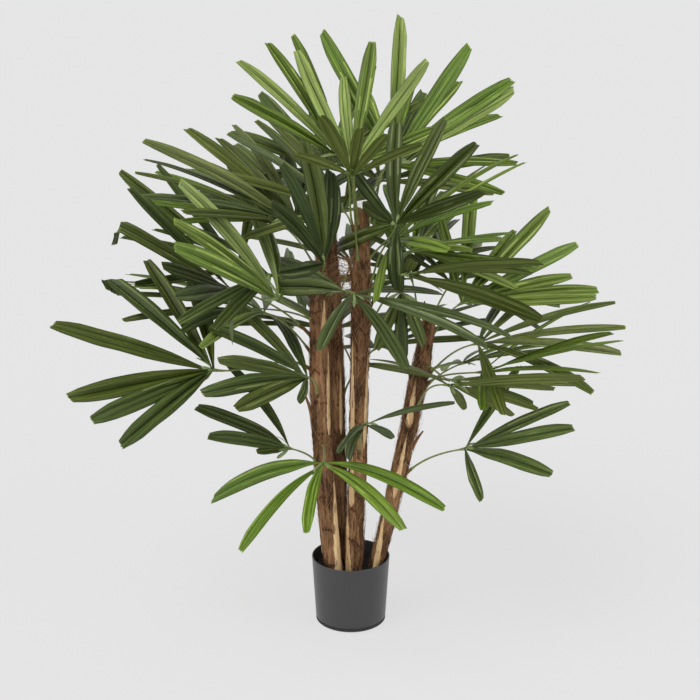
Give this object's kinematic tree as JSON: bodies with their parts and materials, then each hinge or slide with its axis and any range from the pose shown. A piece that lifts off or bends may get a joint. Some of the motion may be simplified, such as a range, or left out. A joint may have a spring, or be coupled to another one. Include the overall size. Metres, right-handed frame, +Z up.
{
  "type": "artificial lady palm in a pot",
  "caption": "Artificial lady palm for indoors: fibre-wrapped upright stems with fan-shaped fronds of narrow blunt leaflets, standing in a plain dark round pot.",
  "frame": {"origin": "middle of the pot's flat underside", "axes": "+Z up along the pot, -Y towards the front of the plant, +X to its right as seen from the front"},
  "size_m": [1.0407, 0.921, 1.1708],
  "materials": {
    "pot": "satin",
    "fill": "matt",
    "stem_wrap": "fibrous",
    "leaf_dark": "satin",
    "leaf_grey": "satin",
    "leaf_bright": "satin"
  },
  "bodies": {
    "root": {"fill": "fill", "frond_a01": "leaf_dark", "frond_a02": "leaf_dark", "frond_a03": "leaf_dark", "frond_a04": "leaf_bright", "frond_a05": "leaf_dark", "frond_a06": "leaf_bright", "frond_a07": "leaf_dark", "frond_a08": "leaf_grey", "frond_a31": "leaf_bright", "frond_a40": "leaf_bright", "frond_a42": "leaf_dark", "frond_a45": "leaf_dark", "frond_b09": "leaf_dark", "frond_b10": "leaf_dark", "frond_b11": "leaf_dark", "frond_b27": "leaf_dark", "frond_b30": "leaf_dark", "frond_b35": "leaf_dark", "frond_b36": "leaf_dark", "frond_b39": "leaf_dark", "frond_c12": "leaf_grey", "frond_c13": "leaf_bright", "frond_c14": "leaf_bright", "frond_c15": "leaf_bright", "frond_c16": "leaf_dark", "frond_c17": "leaf_dark", "frond_c18": "leaf_bright", "frond_c19": "leaf_grey", "frond_c25": "leaf_dark", "frond_c26": "leaf_bright", "frond_c28": "leaf_bright", "frond_c29": "leaf_dark", "frond_c34": "leaf_bright", "frond_c38": "leaf_dark", "frond_c41": "leaf_dark", "frond_c43": "leaf_bright", "frond_d20": "leaf_grey", "frond_d21": "leaf_bright", "frond_d22": "leaf_bright", "frond_d23": "leaf_dark", "frond_d24": "leaf_dark", "frond_d32": "leaf_dark", "frond_d33": "leaf_dark", "frond_d37": "leaf_bright", "frond_d44": "leaf_dark", "pot": "pot", "stem_a": "stem_wrap", "stem_b": "stem_wrap", "stem_c": "stem_wrap", "stem_d": "stem_wrap"}
  },
  "joints": []
}
